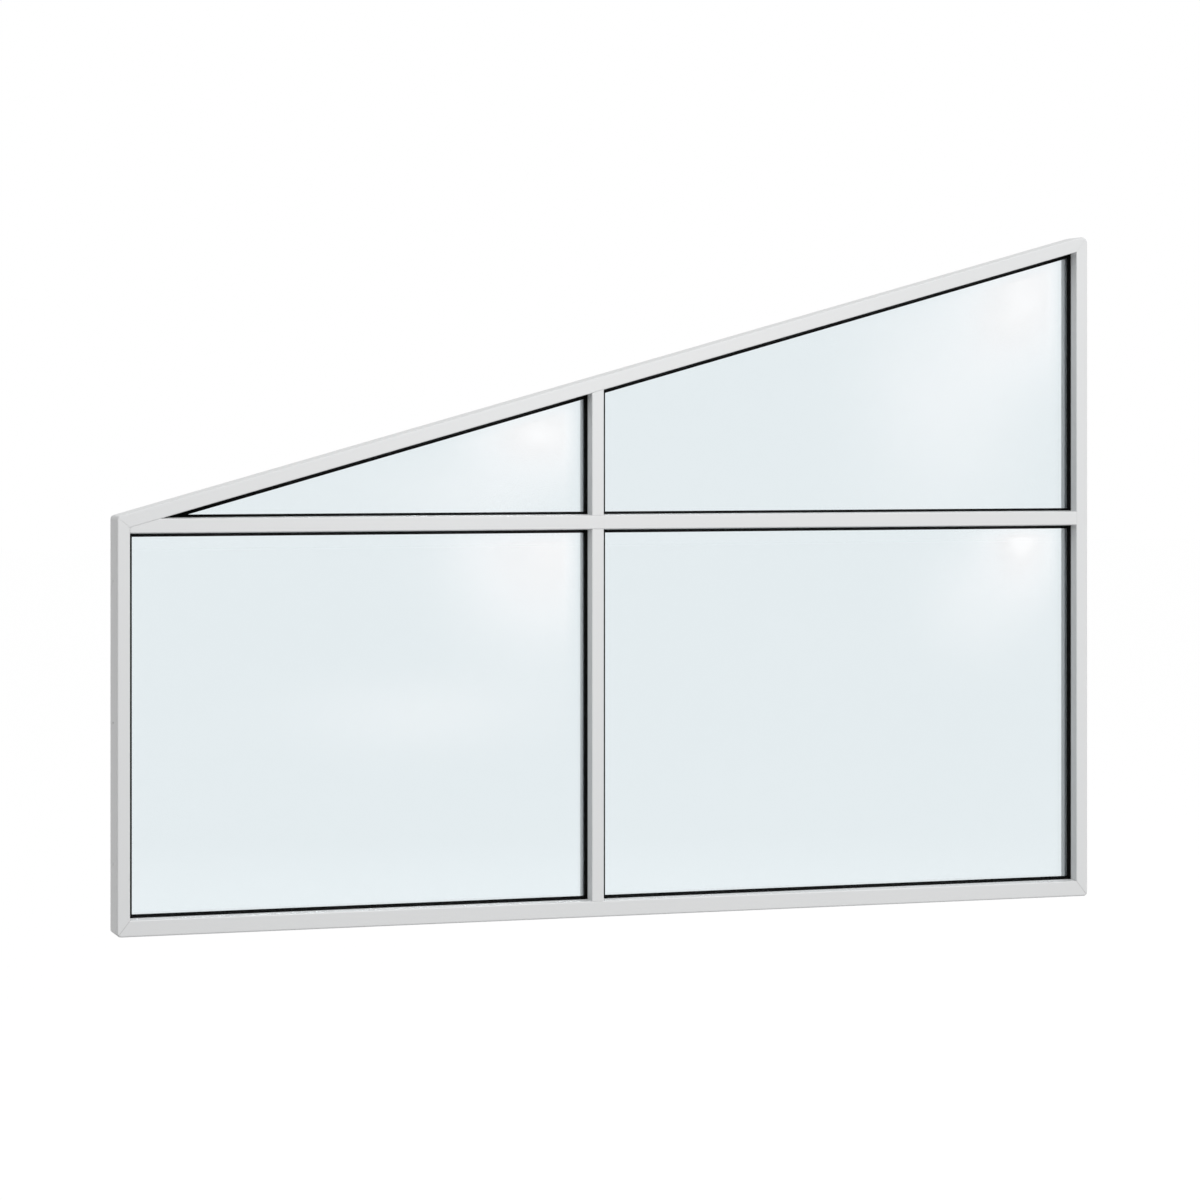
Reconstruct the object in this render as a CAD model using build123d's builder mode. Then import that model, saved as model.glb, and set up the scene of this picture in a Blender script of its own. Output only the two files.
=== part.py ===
import os
from math import hypot

from build123d import *

os.makedirs("parts", exist_ok=True)

# Fixed window with a raked head, seen from outside: X to the right, Y into the wall, Z up.
# The origin is the middle of the underside of the bottom rail. Sizes are in millimetres.

# Overall frame
frame_width = 3000.0
left_height = 1185.0
right_height = 2025.0
frame_depth = 103.0

# Flat faces of the bars, as they show from outside
jamb_face = 37.0
head_face = 40.0
bottom_face = 46.5
transom_face = 40.5
mullion_face = 36.5

# Centre line of the transom, below the left corner, and of the two mullions, from the left edge
transom_drop = 27.0
mullion_centre = 1422.0

# Section that all bars share
leg_depth = 35.5
reveal_splay = 2.5
rebate_height = 9.0
sight_arris = 3.0
outer_arris = 5.0
outer_corner = 12.0
peak_corner = 18.0
back_arris = 1.5
groove_wall = 3.0
groove_width = 4.0
groove_depth = 3.5
clip_setback = 3.0
clip_width = 5.0
clip_depth = 3.0
overrun = 250.0
mitre_overrun = 0.4
mitre_joint = 0.15

# Insulating glass
glass_bite = 6.0
sheet_thickness = 4.0
cavity_depth = 16.0
edge_seal_width = 7.0
point_blunting = 30.0

# Gaskets
gasket_cover = 6.0
outer_gasket_depth = 12.0
outer_lip = 7.5
outer_lip_start = 1.0
outer_lip_edge = 1.2
inner_gasket_depth = 4.0
inner_setback = 2.0
foot_clearance = 0.2
foot_notch = 2.0

# Glazing beads and the packers under the glass
bead_face = 5.0
bead_slope = 1.0
bead_arris = 2.5
bead_clearance = 0.2
packer_length = 100.0
packer_inset = 0.2

# Holes for the screws that fasten the bars to the wall, under the glass
fixing_radius = 4.0
fixing_head_radius = 7.0
fixing_head_depth = 3.0
rail_fixing_count = 6
rail_fixing_spacing = 500.0
jamb_fixing_start = 200.0
jamb_fixing_spacing = 400.0
left_fixing_count = 3
right_fixing_count = 5

# Planes and levels worked out from the sizes
frame_left = -frame_width / 2
frame_right = frame_width / 2
frame_front = -frame_depth / 2
rake = (right_height - left_height) / frame_width
rake_stretch = hypot(1, rake)
mullion_left = frame_left + mullion_centre - mullion_face / 2
mullion_right = mullion_left + mullion_face
transom_bottom = left_height - transom_drop - transom_face / 2
transom_top = transom_bottom + transom_face
glass_front = leg_depth + outer_gasket_depth
cavity_front = glass_front + sheet_thickness
inner_glass_front = cavity_front + cavity_depth
glass_back = inner_glass_front + sheet_thickness
bead_front = glass_back + inner_gasket_depth
fixing_depth = (glass_front + glass_back) / 2
opening_left = frame_left + jamb_face
opening_right = frame_right - jamb_face


def head_top(x):
    return left_height + rake * (x - frame_left)


def head_underside(x, above=0.0):
    return head_top(x) - (head_face - above) * rake_stretch


def reach_of_underside(z, above=0.0):
    return frame_left + (z - left_height + (head_face - above) * rake_stretch) / rake


def clear_opening(grow):
    """Outline of the one big opening inside the outer frame, moved out by the given amount."""
    left = opening_left - grow
    right = opening_right + grow
    low = bottom_face - grow
    return [(left, low), (left, head_underside(left, grow)), (right, head_underside(right, grow)), (right, low)]


def facade(depth):
    return Plane(origin=(0, frame_front + depth, 0), x_dir=(1, 0, 0), z_dir=(0, -1, 0))


def across(start, end):
    """Plane square to a bar: its x points from the sight line into the pane, its y into the wall."""
    run = Vector(end[0] - start[0], 0, end[1] - start[1])
    along = run.normalized()
    origin = Vector(start[0], frame_front, start[1]) - along * overrun
    return Plane(origin=origin, x_dir=(along.Z, 0, -along.X), z_dir=along)


def span(start, end):
    return hypot(end[0] - start[0], end[1] - start[1]) + 2 * overrun


def save(piece, name):
    piece.label = name
    export_step(piece, f"parts/{name}.step")


class Pane:
    """One glazed opening, given by its sight lines. With no top of its own it lies under the raked head."""

    def __init__(self, name, left, right, bottom, top=None):
        self.name = name
        self.left = left
        self.right = right
        self.bottom = bottom
        self.top = top

    def top_line(self, x, grow):
        if self.top is None:
            return head_underside(x, grow)
        return self.top + grow

    def outline(self, grow):
        """Corners clockwise from the lower left, with each side moved out and a sharp point blunted."""
        low = self.bottom - grow
        left = self.left - grow
        right = self.right + grow
        if self.top is None:
            left = max(left, reach_of_underside(low, grow), reach_of_underside(self.bottom) - point_blunting)
        corners = [(left, low), (left, self.top_line(left, grow))]
        corners += [(right, self.top_line(right, grow)), (right, low)]
        if corners[1][1] - corners[0][1] < 0.01:
            corners.pop(1)
        return corners

    def sides(self):
        """Sight lines clockwise from the left or, in a pane that runs to a point, from the top."""
        corners = self.outline(0)
        ends = corners[1:] + corners[:1]
        names = ["left", "top", "right", "bottom"][-len(corners):]
        return dict(zip(names, zip(corners, ends)))


panes = [
    Pane("lower_left", opening_left, mullion_left, bottom_face, transom_bottom),
    Pane("lower_right", mullion_right, opening_right, bottom_face, transom_bottom),
    Pane("upper_left", opening_left, mullion_left, transom_top),
    Pane("upper_right", mullion_right, opening_right, transom_top),
]

# Half of a bar's section, from the front edge at the sight line back to the room side:
# the first number runs from the sight line into the pane, the second from the front into the wall
groove_near = reveal_splay - groove_wall
groove_far = groove_near - groove_width
clip_near = bead_front + clip_setback
clip_far = clip_near + clip_width
sight_half = [
    (0, 0),
    (reveal_splay, leg_depth),
    (groove_near, leg_depth),
    (groove_near, leg_depth - groove_depth),
    (groove_far, leg_depth - groove_depth),
    (groove_far, leg_depth),
    (-rebate_height, leg_depth),
    (-rebate_height, clip_near),
    (-rebate_height - clip_depth, clip_near),
    (-rebate_height - clip_depth, clip_far),
    (-rebate_height, clip_far),
    (-rebate_height, frame_depth),
]

# Corners of the frame in the plane of the front, outside and at the sight lines
outer_bottom_left = (frame_left, 0)
outer_bottom_right = (frame_right, 0)
outer_top_right = (frame_right, right_height)
outer_top_left = (frame_left, left_height)
inner_bottom_left, inner_top_left, inner_top_right, inner_bottom_right = clear_opening(0)


# Envelope of the outer frame: its corners are rounded, and so are its outer edges, front and back
with BuildPart() as envelope:
    with BuildSketch(facade(0)) as outline:
        Polygon(outer_bottom_left, outer_top_left, outer_top_right, outer_bottom_right, align=None)
        fillet(outline.vertices().sort_by(Axis.Y)[-1], peak_corner)
        left_corners = outline.vertices().group_by(Axis.X)[0]
        lower_right = outline.vertices().sort_by(Axis.Y)[0:2].sort_by(Axis.X)[-1]
        fillet(left_corners + lower_right, outer_corner)
    extrude(amount=-frame_depth)
    fillet(envelope.faces().sort_by(Axis.Y)[0].edges(), outer_arris)
    fillet(envelope.faces().sort_by(Axis.Y)[-1].edges(), back_arris)


def past(outer, inner):
    """Point on a mitre line, a little way beyond the corner of the sight lines."""
    reach = 1 + mitre_overrun
    return (outer[0] + reach * (inner[0] - outer[0]), outer[1] + reach * (inner[1] - outer[1]))


def shifted(point, start, end, amount):
    """Point moved by the given amount in the direction from start to end."""
    length = hypot(end[0] - start[0], end[1] - start[1])
    return (
        point[0] + amount * (end[0] - start[0]) / length,
        point[1] + amount * (end[1] - start[1]) / length,
    )


def frame_bar(start, end, face, outer_start, outer_end, fixings):
    """Bar of the outer frame, mitred at both ends, with screw holes at the given places along it."""
    edge = across(outer_start, outer_end).offset(overrun)
    with BuildPart() as bar:
        with BuildSketch(facade(0)):
            Polygon(
                shifted(outer_start, start, end, mitre_joint),
                shifted(outer_end, end, start, mitre_joint),
                shifted(past(outer_end, end), end, start, mitre_joint),
                shifted(past(outer_start, start), start, end, mitre_joint),
                align=None,
            )
        extrude(amount=-frame_depth)
        with BuildSketch(across(start, end)) as section:
            Polygon(*sight_half, (-face, frame_depth), (-face, 0), align=None)
            fillet(section.vertices().group_by(Axis.Y)[0].sort_by(Axis.X)[-1], sight_arris)
        extrude(amount=span(start, end), mode=Mode.INTERSECT)
        add(envelope.part, mode=Mode.INTERSECT)
        for place in fixings:
            mouth = edge.from_local_coords((face - rebate_height, fixing_depth, place))
            with Locations(Plane(origin=mouth, x_dir=edge.z_dir, z_dir=edge.x_dir)):
                CounterBoreHole(fixing_radius, fixing_head_radius, fixing_head_depth, face)
    return bar.part


def along(length, count, spacing):
    """Places of evenly spaced fixings about the middle of a bar."""
    return [length / 2 + spacing * (i - (count - 1) / 2) for i in range(count)]


def divider(start, end, face, low, high, neighbours):
    """Transom or mullion, scribed to its neighbours: its leg ends at their faces, its web at their webs."""
    far_half = [(-face - a, depth) for a, depth in reversed(sight_half)]
    with BuildPart() as bar:
        for grow, front, back in [(0, 0, leg_depth), (rebate_height, leg_depth, frame_depth)]:
            with BuildSketch(facade(front)):
                Polygon(
                    (frame_left, low - grow),
                    (frame_left, high + grow),
                    (frame_right, high + grow),
                    (frame_right, low - grow),
                    align=None,
                )
                Polygon(*clear_opening(grow), align=None, mode=Mode.INTERSECT)
            extrude(amount=front - back)
        with BuildSketch(across(start, end)) as section:
            Polygon(*sight_half, *far_half, align=None)
            fillet(section.vertices().group_by(Axis.Y)[0], sight_arris)
        extrude(amount=span(start, end), mode=Mode.INTERSECT)
        add(neighbours, mode=Mode.SUBTRACT)
    return bar.part


# Outer frame
rail_fixings = along(frame_width, rail_fixing_count, rail_fixing_spacing)
bottom_rail = frame_bar(
    inner_bottom_right, inner_bottom_left, bottom_face, outer_bottom_right, outer_bottom_left, rail_fixings
)
save(bottom_rail, "bottom_rail")

left_fixings = [jamb_fixing_start + i * jamb_fixing_spacing for i in range(left_fixing_count)]
left_jamb = frame_bar(
    inner_bottom_left, inner_top_left, jamb_face, outer_bottom_left, outer_top_left, left_fixings
)
save(left_jamb, "left_jamb")

head_fixings = along(frame_width * rake_stretch, rail_fixing_count, rail_fixing_spacing)
head = frame_bar(
    inner_top_left, inner_top_right, head_face, outer_top_left, outer_top_right, head_fixings
)
save(head, "head")

right_first = right_height - jamb_fixing_start
right_fixings = [right_first - i * jamb_fixing_spacing for i in range(right_fixing_count)]
right_jamb = frame_bar(
    inner_top_right, inner_bottom_right, jamb_face, outer_top_right, outer_bottom_right, right_fixings
)
save(right_jamb, "right_jamb")

# Transom, scribed under the head where the two run together
transom = divider(
    (opening_left, transom_bottom), (opening_right, transom_bottom), transom_face, 0, right_height,
    [left_jamb, right_jamb, head],
)
save(transom, "transom")

# Mullions, butted between the bottom rail, the transom and the head
lower_mullion = divider(
    (mullion_right, bottom_face), (mullion_right, transom_bottom), mullion_face, 0, transom_bottom,
    [bottom_rail, transom],
)
save(lower_mullion, "lower_mullion")

upper_mullion = divider(
    (mullion_right, transom_top), (mullion_right, right_height), mullion_face, transom_top, right_height,
    [transom, head],
)
save(upper_mullion, "upper_mullion")


def sheet(outline, front, thickness):
    """Flat sheet of glass with its front at the given depth."""
    with BuildPart() as glass:
        with BuildSketch(facade(front)):
            Polygon(*outline, align=None)
        extrude(amount=-thickness)
    return glass.part


def ring(outer, inner, front, thickness):
    """Closed band of rectangular section between two outlines."""
    with BuildPart() as band:
        with BuildSketch(facade(front)):
            Polygon(*outer, align=None)
            Polygon(*inner, align=None, mode=Mode.SUBTRACT)
        extrude(amount=-thickness)
    return band.part


def passing(before, corner, after):
    """How far from a corner, on the way to the point after it, the leg of the bar before it is passed."""
    arriving = Vector(corner[0] - before[0], 0, corner[1] - before[1]).normalized()
    leaving = Vector(after[0] - corner[0], 0, after[1] - corner[1]).normalized()
    return (reveal_splay + foot_notch) / arriving.cross(leaving).length


def outer_gasket(pane):
    """Weather gasket: a lip that slopes from the bar down to the glass, and a foot in each bar's groove."""
    lip_rise = outer_gasket_depth - outer_lip_edge
    with BuildPart() as gasket:
        with BuildSketch(facade(leg_depth)):
            Polygon(*pane.outline(gasket_cover), align=None)
        extrude(amount=-outer_gasket_depth)
        with BuildSketch(facade(leg_depth)):
            Polygon(*pane.outline(-reveal_splay - outer_lip_start), align=None)
        with BuildSketch(facade(leg_depth + lip_rise)):
            Polygon(*pane.outline(-reveal_splay - outer_lip), align=None)
        loft(ruled=True, mode=Mode.SUBTRACT)
        with BuildSketch(facade(leg_depth + lip_rise)):
            Polygon(*pane.outline(-reveal_splay - outer_lip), align=None)
        extrude(amount=-outer_lip_edge, mode=Mode.SUBTRACT)
        sides = list(pane.sides().values())
        for i, (start, end) in enumerate(sides):
            foot_start = overrun + passing(sides[i - 1][0], start, end)
            foot_end = overrun + passing(sides[(i + 1) % len(sides)][1], end, start)
            foot_length = span(start, end) - foot_start - foot_end
            with BuildSketch(across(start, end).offset(foot_start)):
                Polygon(
                    (groove_near - foot_clearance, leg_depth),
                    (groove_near - foot_clearance, leg_depth - groove_depth + foot_clearance),
                    (groove_far + foot_clearance, leg_depth - groove_depth + foot_clearance),
                    (groove_far + foot_clearance, leg_depth),
                    align=None,
                )
            extrude(amount=foot_length)
    return gasket.part


def bead(start, end, outline, neighbours):
    """Glazing bead, clipped into the web's groove, cut to its outline and scribed to its neighbours."""
    nib_depth = clip_depth - bead_clearance
    with BuildPart() as strip:
        with BuildSketch(facade(bead_front)):
            Polygon(*outline, align=None)
        extrude(amount=bead_front - frame_depth)
        with BuildSketch(across(start, end)) as section:
            Polygon(
                (bead_face, bead_front),
                (-rebate_height, bead_front),
                (-rebate_height, frame_depth),
                (bead_face - bead_slope, frame_depth),
                align=None,
            )
            fillet(section.vertices().group_by(Axis.Y)[-1].sort_by(Axis.X)[-1], bead_arris)
        extrude(amount=span(start, end), mode=Mode.INTERSECT)
        nib_start = overrun + rebate_height
        nib_length = span(start, end) - 2 * nib_start
        with BuildSketch(across(start, end).offset(nib_start)):
            Polygon(
                (-rebate_height, clip_near + bead_clearance),
                (-rebate_height - nib_depth, clip_near + bead_clearance),
                (-rebate_height - nib_depth, clip_far - bead_clearance),
                (-rebate_height, clip_far - bead_clearance),
                align=None,
            )
        extrude(amount=nib_length)
        if neighbours:
            add(neighbours, mode=Mode.SUBTRACT)
    return strip.part


def bead_outlines(pane):
    """Level and raked beads run from web to web, upright beads stand between them."""
    pointed = "left" not in pane.sides()
    low = pane.bottom - rebate_height
    high = pane.bottom + bead_face
    floor_left = pane.left - rebate_height
    floor_right = pane.right + rebate_height
    if pointed:
        floor_left = max(floor_left, reach_of_underside(low, rebate_height))
        bottom_left = [(reach_of_underside(high), high), (reach_of_underside(low), low)]
        top_left = [(reach_of_underside(low, -bead_face), low), (floor_left, low)]
    else:
        bottom_left = [(floor_left, high), (floor_left, low)]
        top_left = [(floor_left, pane.top_line(floor_left, -bead_face))]
    outlines = {
        "top": top_left
        + [
            (floor_left, pane.top_line(floor_left, rebate_height)),
            (floor_right, pane.top_line(floor_right, rebate_height)),
            (floor_right, pane.top_line(floor_right, -bead_face)),
        ],
        "bottom": bottom_left + [(floor_right, low), (floor_right, high)],
        "right": [
            (pane.right - bead_face, pane.bottom),
            (floor_right, pane.bottom),
            (floor_right, pane.top_line(floor_right, 0)),
            (pane.right - bead_face, pane.top_line(pane.right - bead_face, 0)),
        ],
    }
    if not pointed:
        outlines["left"] = [
            (floor_left, pane.bottom),
            (pane.left + bead_face, pane.bottom),
            (pane.left + bead_face, pane.top_line(pane.left + bead_face, 0)),
            (floor_left, pane.top_line(floor_left, 0)),
        ]
    return outlines


# Glazing of the four panes
for pane in panes:
    glass_outline = pane.outline(glass_bite)
    cover_outline = pane.outline(gasket_cover)
    save(sheet(glass_outline, glass_front, sheet_thickness), f"{pane.name}_outer_glass")
    save(sheet(glass_outline, inner_glass_front, sheet_thickness), f"{pane.name}_inner_glass")

    seal_outline = pane.outline(glass_bite - edge_seal_width)
    save(ring(glass_outline, seal_outline, cavity_front, cavity_depth), f"{pane.name}_edge_seal")

    save(outer_gasket(pane), f"{pane.name}_outer_gasket")
    hidden_outline = pane.outline(inner_setback)
    save(ring(cover_outline, hidden_outline, glass_back, inner_gasket_depth), f"{pane.name}_inner_gasket")

    sides = pane.sides()
    level_beads = []
    for side, outline in bead_outlines(pane).items():
        strip = bead(*sides[side], outline, level_beads)
        save(strip, f"{pane.name}_{side}_bead")
        if side in ("top", "bottom"):
            level_beads.append(strip)

# Packers that carry the glass at its quarter points
with BuildPart() as glass_packers:
    packer_height = rebate_height - glass_bite
    packer_depth = glass_back - glass_front - 2 * packer_inset
    for pane in panes:
        corners = pane.outline(glass_bite)
        edge_left = corners[0][0]
        edge_right = corners[-1][0]
        for share in (0.25, 0.75):
            packer_x = edge_left + share * (edge_right - edge_left)
            packer_y = frame_front + glass_front + packer_inset + packer_depth / 2
            packer_z = pane.bottom - rebate_height + packer_height / 2
            with Locations((packer_x, packer_y, packer_z)):
                Box(packer_length, packer_depth, packer_height)
save(glass_packers.part, "glass_packers")
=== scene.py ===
import math

import bmesh
import bpy
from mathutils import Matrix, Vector


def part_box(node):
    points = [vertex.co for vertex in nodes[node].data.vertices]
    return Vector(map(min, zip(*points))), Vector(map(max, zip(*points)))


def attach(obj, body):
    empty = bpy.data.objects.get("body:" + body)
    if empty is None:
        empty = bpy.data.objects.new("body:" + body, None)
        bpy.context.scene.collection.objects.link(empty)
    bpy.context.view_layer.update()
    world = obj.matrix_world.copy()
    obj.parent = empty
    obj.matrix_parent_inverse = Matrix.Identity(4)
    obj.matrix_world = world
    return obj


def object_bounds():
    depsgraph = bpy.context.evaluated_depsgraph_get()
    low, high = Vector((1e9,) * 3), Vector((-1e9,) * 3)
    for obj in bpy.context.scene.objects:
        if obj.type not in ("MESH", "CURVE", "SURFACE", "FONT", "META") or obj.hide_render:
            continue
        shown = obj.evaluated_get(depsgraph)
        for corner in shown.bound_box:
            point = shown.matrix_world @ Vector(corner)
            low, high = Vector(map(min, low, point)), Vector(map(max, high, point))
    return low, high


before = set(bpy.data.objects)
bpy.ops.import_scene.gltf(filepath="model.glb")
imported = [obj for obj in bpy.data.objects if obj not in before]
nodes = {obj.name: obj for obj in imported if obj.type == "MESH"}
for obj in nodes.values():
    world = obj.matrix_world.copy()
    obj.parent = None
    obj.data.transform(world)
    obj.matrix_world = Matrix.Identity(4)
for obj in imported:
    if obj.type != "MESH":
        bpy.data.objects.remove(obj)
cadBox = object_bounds()
scene = bpy.context.scene
print("frame loaded:", len(nodes), "nodes")

# Where the window ends, and how far the glass goes under the frame's face, in metres
leftEnd, rightEnd, sillLevel = cadBox[0][0], cadBox[1][0], cadBox[0][2]
glassBite = 0.006
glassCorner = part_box("lower_left_outer_glass")[0]


# A shader socket that takes part in Python maths
class Wire:
    def __init__(self, tree, socket):
        self.tree = tree
        self.socket = socket

    def maths(self, operation, *values):
        return self.tree.node("ShaderNodeMath", {"operation": operation}, dict(enumerate(values)))

    def __add__(self, other):
        return self.maths("ADD", self, other)

    def __radd__(self, other):
        return self.maths("ADD", other, self)

    def __sub__(self, other):
        return self.maths("SUBTRACT", self, other)

    def __rsub__(self, other):
        return self.maths("SUBTRACT", other, self)

    def __mul__(self, other):
        return self.maths("MULTIPLY", self, other)

    def __rmul__(self, other):
        return self.maths("MULTIPLY", other, self)

    def __truediv__(self, other):
        return self.maths("DIVIDE", self, other)

    def __rpow__(self, other):
        return self.maths("POWER", other, self)

    def __pow__(self, other):
        return self.maths("POWER", self, other)

    def __or__(self, other):
        return self.maths("MAXIMUM", self, other)

    def __and__(self, other):
        return self.maths("MINIMUM", self, other)


# The node tree of a material or of the world
class ShaderTree:
    def __init__(self, owner):
        owner.use_nodes = True
        self.tree = owner.node_tree
        self.tree.nodes.clear()

    def node(self, kind, settings=None, sockets=None, output=0):
        made = self.tree.nodes.new(kind)
        for name, value in (settings or {}).items():
            setattr(made, name, value)
        for name, value in (sockets or {}).items():
            if isinstance(value, Wire):
                self.tree.links.new(value.socket, made.inputs[name])
            else:
                made.inputs[name].default_value = value
        return Wire(self, made.outputs[output])

    def place(self):
        return self.node("ShaderNodeTexCoord", output="Object")

    def axes(self):
        split = self.node("ShaderNodeSeparateXYZ", sockets={0: self.place()})
        return [Wire(self, socket) for socket in split.socket.node.outputs]

    def noise(self, scale, detail=2.0, stretch=(1, 1, 1)):
        spot = self.node("ShaderNodeMapping", sockets={"Vector": self.place(), "Scale": stretch})
        return self.node("ShaderNodeTexNoise", sockets={"Vector": spot, "Scale": scale, "Detail": detail})

    def blend(self, factor, first, second):
        ends = [color if isinstance(color, Wire) else (*color, 1) for color in (first, second)]
        sockets = {"Factor": factor, 6: ends[0], 7: ends[1]}
        mixed = self.node("ShaderNodeMix", {"data_type": "RGBA"}, sockets)
        return Wire(self, mixed.socket.node.outputs[2])

    def bump(self, height, distance):
        return self.node("ShaderNodeBump", sockets={"Height": height, "Distance": distance, "Strength": 1.0})

    def surface(self, shader):
        end = self.tree.nodes.new("ShaderNodeOutputMaterial")
        self.tree.links.new(shader.socket, end.inputs["Surface"])


def newMaterial(name):
    material = bpy.data.materials.new(name)
    return material, ShaderTree(material)


def dress(names, material):
    for name in names:
        slots = nodes[name].data.materials
        slots.clear()
        slots.append(material)


# Satin powder coat on all the aluminium, with its fine orange peel
powderCoat = {
    "pale": (0.745, 0.753, 0.757),
    "dull": (0.738, 0.746, 0.750),
    "cloudScale": 1.6,       # per metre
    "peelScale": 520.0,
    "peelHeight": 0.00003,   # metres
    "grainScale": 2600.0,
    "roughness": (0.34, 0.44),
    "jointColor": (0.58, 0.58, 0.58),
    "jointReach": 0.001,     # metres to each side of a mitre
}


# A mitre is the outer corner, then how far its line runs across and up from there
def makePowderCoat(name, s, mitres=()):
    material, tree = newMaterial(name)
    clouds = tree.noise(s["cloudScale"], 3)
    peel = tree.noise(s["peelScale"], 2)
    grain = tree.noise(s["grainScale"], 1)
    low, high = s["roughness"]
    color = tree.blend(clouds, s["dull"], s["pale"])
    for corner, run, rise in mitres:
        x, y, z = tree.axes()
        length = math.hypot(run, rise)
        away = ((x - corner[0]) * rise - (z - corner[1]) * run) / (length * s["jointReach"])
        color = tree.blend(math.e ** (0 - away * away), color, s["jointColor"])
    coat = tree.node("ShaderNodeBsdfPrincipled", sockets={
        "Base Color": color,
        "Roughness": low + (high - low) * grain,
        "Normal": tree.bump(peel, s["peelHeight"]),
    })
    tree.surface(coat)
    return material


bars = ["bottom_rail", "left_jamb", "head", "right_jamb", "transom", "lower_mullion", "upper_mullion"]
dress(bars, makePowderCoat("framePaint", powderCoat))
jambFace = glassCorner.x + glassBite - leftEnd
railFace = glassCorner.z + glassBite - sillLevel
mitres = [
    ((leftEnd, sillLevel), jambFace, railFace),
    ((rightEnd, sillLevel), -jambFace, railFace),
]
dress(["bottom_rail", "left_jamb", "right_jamb"], makePowderCoat("cornerPaint", powderCoat, mitres))
beads = [name for name in nodes if name.endswith("_bead")]
dress(beads, makePowderCoat("beadPaint", {**powderCoat, "cloudScale": 2.2}))
print("painted:", len(bars), "bars and", len(beads), "beads")

# Black weather gaskets, slightly matt
rubber = {
    "black": (0.0014, 0.0015, 0.0015),
    "dusty": (0.0034, 0.0036, 0.0036),
    "dustScale": 14.0,
    "skinScale": 900.0,
    "skinHeight": 0.00002,
    "roughness": (0.50, 0.65),
    "shine": 0.045,          # specular level
}


def makeRubber(name, s):
    material, tree = newMaterial(name)
    dust = tree.noise(s["dustScale"], 4)
    skin = tree.noise(s["skinScale"], 1)
    low, high = s["roughness"]
    tree.surface(tree.node("ShaderNodeBsdfPrincipled", sockets={
        "Base Color": tree.blend(dust, s["black"], s["dusty"]),
        "Roughness": low + (high - low) * dust,
        "Normal": tree.bump(skin, s["skinHeight"]),
        "Specular IOR Level": s["shine"],
    }))
    return material


gaskets = [name for name in nodes if name.endswith("_gasket")]
gasketRubber = makeRubber("gasketRubber", rubber)
dress(gaskets, gasketRubber)
seal = {
    **rubber,
    "black": (0.02, 0.02, 0.021),
    "dusty": (0.035, 0.035, 0.036),
    "shine": 0.3,
}
dress([name for name in nodes if name.endswith("_edge_seal")], makeRubber("sealant", seal))
packer = {
    **rubber,
    "black": (0.05, 0.052, 0.055),
    "dusty": (0.07, 0.072, 0.075),
    "roughness": (0.4, 0.5),
    "shine": 0.3,
}
dress(["glass_packers"], makeRubber("packerPlastic", packer))
print("rubber on", len(gaskets), "gaskets")

# Black strips that lie on the outer glass beside the lips of the outer gaskets, widening the dark line along
# the pane edges
blackStrips = {
    "lip": 0.009,            # where a strip starts, from the edge of the frame's face
    "rise": 0.0012,
    "reach": {               # where each strip ends on the glass, from the same edge
        ("lower_left", "left"): 0.0140,
        ("lower_left", "top"): 0.0118,
        ("lower_left", "bottom"): 0.0115,
        ("lower_right", "left"): 0.0190,
        ("lower_right", "top"): 0.0118,
        ("lower_right", "bottom"): 0.0115,
        ("upper_right", "left"): 0.0190,
        ("upper_left", "top"): 0.0140,
        ("upper_right", "top"): 0.0140,
    },
    "ends": {                # the sides that a strip runs between
        "left": ("bottom", "top"),
        "top": ("left", "right"),
        "bottom": ("left", "right"),
    },
    "pointedEnds": ("bottom", "right"),   # under the head of the pointed pane
    "section": [(0, 1), (0.4, 0.84), (0.75, 0.48), (1, 0)],   # shares of the width and of the rise
}

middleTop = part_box("upper_left_outer_glass")[1]
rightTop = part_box("upper_right_outer_glass")[1]
headSlope = (rightTop.z - middleTop.z) / (rightTop.x - middleTop.x)


# The four edges of the frame's face round a pane, each as an inward normal and a distance
def faceLines(pane):
    low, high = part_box(pane + "_outer_glass")
    slope = headSlope if pane.startswith("upper") else 0
    tilt = math.hypot(1, slope)
    topNormal = (slope / tilt, -1 / tilt)
    return {
        "left": ((1, 0), low.x + glassBite),
        "right": ((-1, 0), glassBite - high.x),
        "bottom": ((0, 1), low.z + glassBite),
        "top": (topNormal, topNormal[0] * high.x + topNormal[1] * high.z + glassBite),
    }


# Where two edges cross, once each has moved into the pane by its inset
def meet(first, firstInset, second, secondInset):
    (a, b), c = first
    (d, e), f = second
    c = c + firstInset
    f = f + secondInset
    size = a * e - b * d
    return (c * e - b * f) / size, (a * f - c * d) / size


blackStripForm = bmesh.new()
for (pane, side), reach in blackStrips["reach"].items():
    lines = faceLines(pane)
    lip = blackStrips["lip"]
    ends = blackStrips["pointedEnds"] if (pane, side) == ("upper_left", "top") else blackStrips["ends"][side]
    rows = []
    for end in ends:
        row = []
        for across, up in blackStrips["section"] + [(0, 0)]:
            x, z = meet(lines[side], lip + (reach - lip) * across, lines[end], lip)
            row.append(blackStripForm.verts.new((x, glassCorner.y - blackStrips["rise"] * up, z)))
        rows.append(row)
    near, far = rows
    for index in range(len(near)):
        following = (index + 1) % len(near)
        blackStripForm.faces.new([near[index], near[following], far[following], far[index]])
    blackStripForm.faces.new(near)
    blackStripForm.faces.new(far)
bmesh.ops.recalc_face_normals(blackStripForm, faces=blackStripForm.faces)
blackStripMesh = bpy.data.meshes.new("black_glass_strips")
blackStripForm.to_mesh(blackStripMesh)
blackStripForm.free()
blackStripMesh.materials.append(gasketRubber)
blackStripPiece = bpy.data.objects.new("black_glass_strips", blackStripMesh)
scene.collection.objects.link(blackStripPiece)
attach(blackStripPiece, "root")
print("laid:", len(blackStrips["reach"]), "blackStrips")
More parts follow.
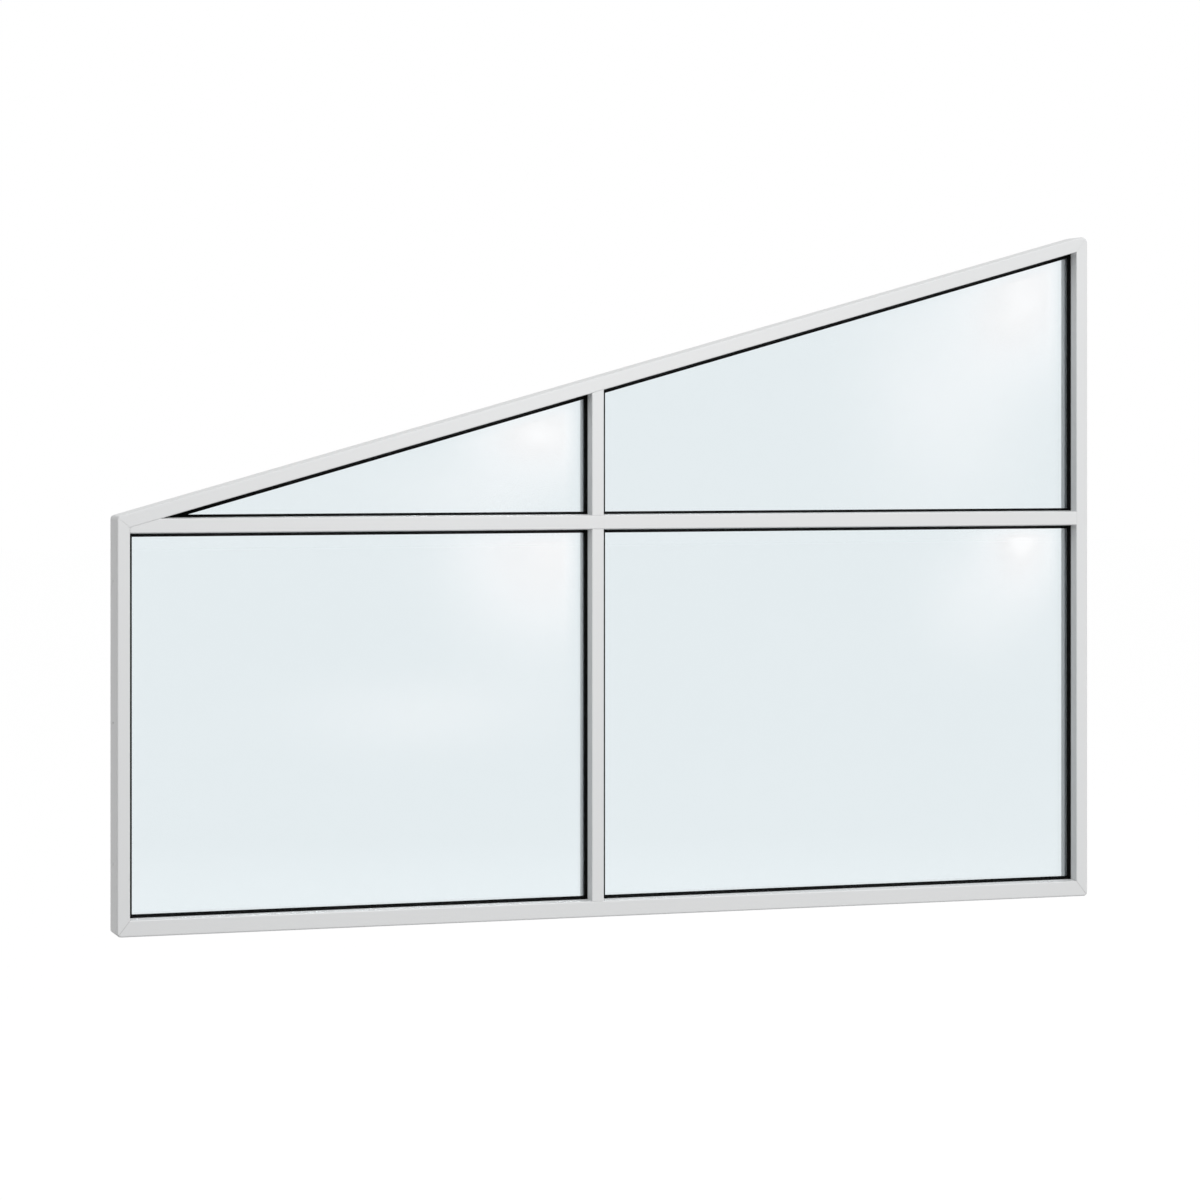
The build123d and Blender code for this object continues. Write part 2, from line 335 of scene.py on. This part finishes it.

# Float glass with a faint blue-green body, and a painted reflection: a soft bright patch
# near each pane's top right corner, where the pane mirrors more of the white surroundings
glass = {
    "body": (0.938, 0.957, 0.964),   # what one face lets through
    "mirror": 0.04,                  # share mirrored straight on, at one face
    # Painted reflection: faint streaks where noise makes the glass mirror a little more of the white
    # surroundings
    "shimmerScale": 1.3,
    "shimmerStretch": (1, 1, 2.5),
    "shimmerLevel": 0.45,            # noise above this level shimmers
    "paintedShimmer": 0.05,
    "softScale": 3.5,
    "softness": (0.75, 0.5),         # least strength of the patch, and how much noise adds
    "mirrorColor": (0.98, 0.99, 1.0),
    "paintedReflections": {                     # painted reflections: share mirrored, inset from right and top, breadth, height
        "lower_left": [(0.90, 0.130, 0.045, 0.235, 0.249), (0.18, 0.503, 0.535, 0.35, 0.10)],
        "lower_right": [(0.96, 0.157, 0.004, 0.122, 0.191), (0.25, 0.311, 0.218, 0.17, 0.17)],
        "upper_left": [(0.94, 0.145, 0.120, 0.192, 0.116), (0.22, 0.315, 0.296, 0.28, 0.10)],
        "upper_right": [(0.91, 0.150, 0.140, 0.189, 0.212), (0.35, 0.409, 0.417, 0.25, 0.33)],
    },
    "dimRight": (0.024, 0.070),      # the patch fades out towards these edges
    "dimTop": (-0.020, 0.045),
}


# Rises from 0 to 1 over a span of distances
def fade(distance, span):
    return ((distance - span[0]) / (span[1] - span[0]) | 0) & 1


def makeGlass(name, s, pane=None):
    material, tree = newMaterial(name)
    facing = tree.node("ShaderNodeLayerWeight", sockets={"Blend": 0.5}, output="Facing")
    mirror = s["mirror"] + (1 - s["mirror"]) * facing ** 5
    if pane:
        x, y, z = tree.axes()
        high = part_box(pane + "_outer_glass")[1]
        slope = headSlope if pane.startswith("upper") else 0
        fromRight = high.x - glassBite - x
        fromTop = high.z - glassBite - z
        glow = 0.0
        # Painted reflection: a soft bright patch near the top right corner, where the pane mirrors much more
        # of the white surroundings
        for share, right, top, breadth, height in s["paintedReflections"][pane]:
            across = (fromRight - right) / breadth
            up = (fromTop - top) / height
            glow = glow + share * math.e ** (0 - across * across - up * up)
        least, added = s["softness"]
        strength = least + added * tree.noise(s["softScale"], 3)
        # Painted reflection: faint noise streaks add to the mirrored share
        paintedShimmer = tree.noise(s["shimmerScale"], 4, s["shimmerStretch"])
        clear = fade(fromRight, s["dimRight"]) * fade(fromTop - slope * fromRight, s["dimTop"])
        mirror = mirror + glow * clear * strength + s["paintedShimmer"] * (paintedShimmer - s["shimmerLevel"] | 0)
    through = tree.node("ShaderNodeBsdfTransparent", sockets={"Color": (*s["body"], 1)})
    shine = tree.node("ShaderNodeBsdfPrincipled", sockets={
        "Base Color": (*s["mirrorColor"], 1),
        "Metallic": 1.0,
        "Roughness": 0.0,
    })
    sheet = tree.node("ShaderNodeMixShader", sockets={0: mirror & 1, 1: through, 2: shine})
    tree.surface(sheet)
    return material


plainGlass = makeGlass("innerGlass", glass)
for pane in glass["paintedReflections"]:
    dress([pane + "_outer_glass"], makeGlass(pane + "Glass", glass, pane))
    dress([pane + "_inner_glass"], plainGlass)
print("glazed:", len(glass["paintedReflections"]), "panes")

# Floor, a little below the window as under a wall opening, and the white surroundings
studio = {
    "floorDrop": 0.9,
    "floorReach": 60.0,
    "floorColor": (0.28, 0.28, 0.28),
    "floorGlow": 0.78,       # seen by the camera and in reflections
    "ambient": 0.68,
    "overhead": 0.14,        # more light from above
    "sideways": 0.26,        # more light from the right, less from the left
    "keyPlace": (1.6, -8.5, 3.6),
    "keyAim": (0.1, 0.0, 1.2),
    "keySize": 3.2,
    "keyPower": 358.0,
}


def seenDirectly(tree):
    path = tree.node("ShaderNodeLightPath").socket.node
    camera = Wire(tree, path.outputs["Is Camera Ray"])
    glossy = Wire(tree, path.outputs["Is Glossy Ray"])
    through = Wire(tree, path.outputs["Is Transmission Ray"])
    return camera | glossy | through


reach = studio["floorReach"]
floorMesh = bpy.data.meshes.new("floor")
floorLevel = sillLevel - studio["floorDrop"]
corners = [(x * reach, y * reach, floorLevel) for x, y in ((-1, -1), (1, -1), (1, 1), (-1, 1))]
floorMesh.from_pydata(corners, [], [(0, 1, 2, 3)])
floor = bpy.data.objects.new("floor", floorMesh)
scene.collection.objects.link(floor)
floorMaterial, tree = newMaterial("paleFloor")
matt = tree.node("ShaderNodeBsdfDiffuse", sockets={"Color": (*studio["floorColor"], 1)})
glow = tree.node("ShaderNodeEmission", sockets={"Strength": studio["floorGlow"] * seenDirectly(tree)})
tree.surface(tree.node("ShaderNodeAddShader", sockets={0: matt, 1: glow}))
floorMesh.materials.append(floorMaterial)

world = bpy.data.worlds.new("studio")
scene.world = world
sky = ShaderTree(world)
direction = sky.node("ShaderNodeTexCoord", output="Generated")
toward = sky.node("ShaderNodeSeparateXYZ", sockets={0: direction}).socket.node
fromRight = Wire(sky, toward.outputs["X"])
fromAbove = Wire(sky, toward.outputs["Z"])
ambient = studio["ambient"] + studio["overhead"] * (fromAbove | 0) + studio["sideways"] * fromRight
seen = seenDirectly(sky)
background = sky.node("ShaderNodeBackground", sockets={
    "Color": (1, 1, 1, 1),
    "Strength": ambient * (1 - seen) + seen,
})
worldEnd = sky.tree.nodes.new("ShaderNodeOutputWorld")
sky.tree.links.new(background.socket, worldEnd.inputs["Surface"])

keyData = bpy.data.lights.new("key", "AREA")
keyData.shape = "DISK"
keyData.size = studio["keySize"]
keyData.energy = studio["keyPower"]
key = bpy.data.objects.new("key", keyData)
key.location = studio["keyPlace"]
key.rotation_euler = (Vector(studio["keyAim"]) - key.location).to_track_quat("-Z", "Y").to_euler()
scene.collection.objects.link(key)
print("studio lit")

# Camera at the photograph's place: level, left of the window, looking a little to the right
view = {
    "place": (-3.3816, -10.2375, 1.4298),
    "turn": 18.0,            # degrees to the right of straight on
    "focalPixels": 3651.7,
    "horizon": 429.5,        # pixels from the top
    "imageSize": 1200.0,
    "sensor": 36.0,
}
cameraData = bpy.data.cameras.new("camera")
cameraData.sensor_width = view["sensor"]
cameraData.lens = view["focalPixels"] * view["sensor"] / view["imageSize"]
cameraData.shift_y = (view["horizon"] - view["imageSize"] / 2) / view["imageSize"]
cameraData.clip_end = 200.0
camera = bpy.data.objects.new("camera", cameraData)
camera.location = view["place"]
camera.rotation_euler = (math.radians(90), 0, math.radians(-view["turn"]))
scene.collection.objects.link(camera)
scene.camera = camera
scene.view_settings.view_transform = "Standard"
print("camera set")
